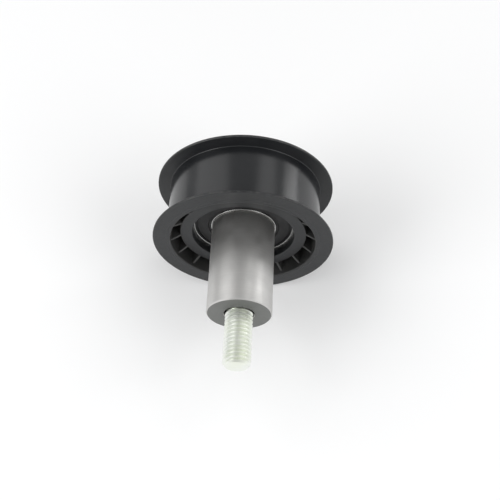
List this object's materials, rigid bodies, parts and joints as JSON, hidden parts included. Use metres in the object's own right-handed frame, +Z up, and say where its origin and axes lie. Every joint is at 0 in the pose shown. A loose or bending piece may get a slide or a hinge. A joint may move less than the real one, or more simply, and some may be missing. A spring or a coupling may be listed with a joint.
{
  "type": "belt tensioner idler",
  "caption": "Flanged belt idler: a black moulded pulley wheel on a sealed ball bearing, stood off by a steel spacer tube, with a threaded bolt through it.",
  "frame": {"origin": "centre of the spacer tube's mounting face", "axes": "+Y along the pulley's axis from the mounting face to the bolt's head, so the threaded end points to -Y; +Z up"},
  "size_m": [0.067, 0.08, 0.067],
  "materials": {
    "moulded_nylon": "black moulded nylon, satin on the running surface",
    "bearing_steel": "ground bearing steel",
    "ball_steel": "polished bearing balls",
    "cage_steel": "pressed sheet steel",
    "seal_rubber": "black nitrile rubber",
    "turned_steel": "fine turned steel, satin",
    "zinc_plate": "bright zinc plating"
  },
  "bodies": {
    "carrier": {"spacer_tube": "turned_steel", "mounting_bolt": "zinc_plate", "bearing_bush": "turned_steel", "dust_shield": "zinc_plate", "bearing_inner_ring": "bearing_steel"},
    "wheel": {"pulley_wheel": "moulded_nylon", "bearing_outer_ring": "bearing_steel", "seal_front_rubber": "seal_rubber", "seal_front_stiffener": "cage_steel", "seal_rear_rubber": "seal_rubber", "seal_rear_stiffener": "cage_steel"},
    "cage": {"cage_front_half": "cage_steel", "cage_rear_half": "cage_steel", "cage_rivets": "cage_steel"},
    "ball_1": {"bearing_ball_1": "ball_steel"},
    "ball_2": {"bearing_ball_2": "ball_steel"},
    "ball_3": {"bearing_ball_3": "ball_steel"},
    "ball_4": {"bearing_ball_4": "ball_steel"},
    "ball_5": {"bearing_ball_5": "ball_steel"},
    "ball_6": {"bearing_ball_6": "ball_steel"},
    "ball_7": {"bearing_ball_7": "ball_steel"},
    "ball_8": {"bearing_ball_8": "ball_steel"}
  },
  "joints": [
    {"name": "pulley_spin", "type": "hinge", "parent": "carrier", "child": "wheel", "pos_m": [0, 0.0424, 0], "axis": [0, 1, 0], "continuous": true},
    {"name": "cage_orbit", "type": "hinge", "parent": "carrier", "child": "cage", "pos_m": [0, 0.0424, 0], "axis": [0, 1, 0], "continuous": true},
    {"name": "ball_1_spin", "type": "hinge", "parent": "cage", "child": "ball_1", "pos_m": [0.01425, 0.0424, 0], "axis": [0, 1, 0], "continuous": true},
    {"name": "ball_2_spin", "type": "hinge", "parent": "cage", "child": "ball_2", "pos_m": [0.01008, 0.0424, 0.01008], "axis": [0, 1, 0], "continuous": true},
    {"name": "ball_3_spin", "type": "hinge", "parent": "cage", "child": "ball_3", "pos_m": [0, 0.0424, 0.01425], "axis": [0, 1, 0], "continuous": true},
    {"name": "ball_4_spin", "type": "hinge", "parent": "cage", "child": "ball_4", "pos_m": [-0.01008, 0.0424, 0.01008], "axis": [0, 1, 0], "continuous": true},
    {"name": "ball_5_spin", "type": "hinge", "parent": "cage", "child": "ball_5", "pos_m": [-0.01425, 0.0424, 0], "axis": [0, 1, 0], "continuous": true},
    {"name": "ball_6_spin", "type": "hinge", "parent": "cage", "child": "ball_6", "pos_m": [-0.01008, 0.0424, -0.01008], "axis": [0, 1, 0], "continuous": true},
    {"name": "ball_7_spin", "type": "hinge", "parent": "cage", "child": "ball_7", "pos_m": [0, 0.0424, -0.01425], "axis": [0, 1, 0], "continuous": true},
    {"name": "ball_8_spin", "type": "hinge", "parent": "cage", "child": "ball_8", "pos_m": [0.01008, 0.0424, -0.01008], "axis": [0, 1, 0], "continuous": true}
  ],
  "couplings": [
    {"joint": "cage_orbit", "follows": "pulley_spin", "ratio": 0.61837},
    {"joint": "ball_1_spin", "follows": "pulley_spin", "ratio": 1.9937},
    {"joint": "ball_2_spin", "follows": "pulley_spin", "ratio": 1.9937},
    {"joint": "ball_3_spin", "follows": "pulley_spin", "ratio": 1.9937},
    {"joint": "ball_4_spin", "follows": "pulley_spin", "ratio": 1.9937},
    {"joint": "ball_5_spin", "follows": "pulley_spin", "ratio": 1.9937},
    {"joint": "ball_6_spin", "follows": "pulley_spin", "ratio": 1.9937},
    {"joint": "ball_7_spin", "follows": "pulley_spin", "ratio": 1.9937},
    {"joint": "ball_8_spin", "follows": "pulley_spin", "ratio": 1.9937}
  ]
}
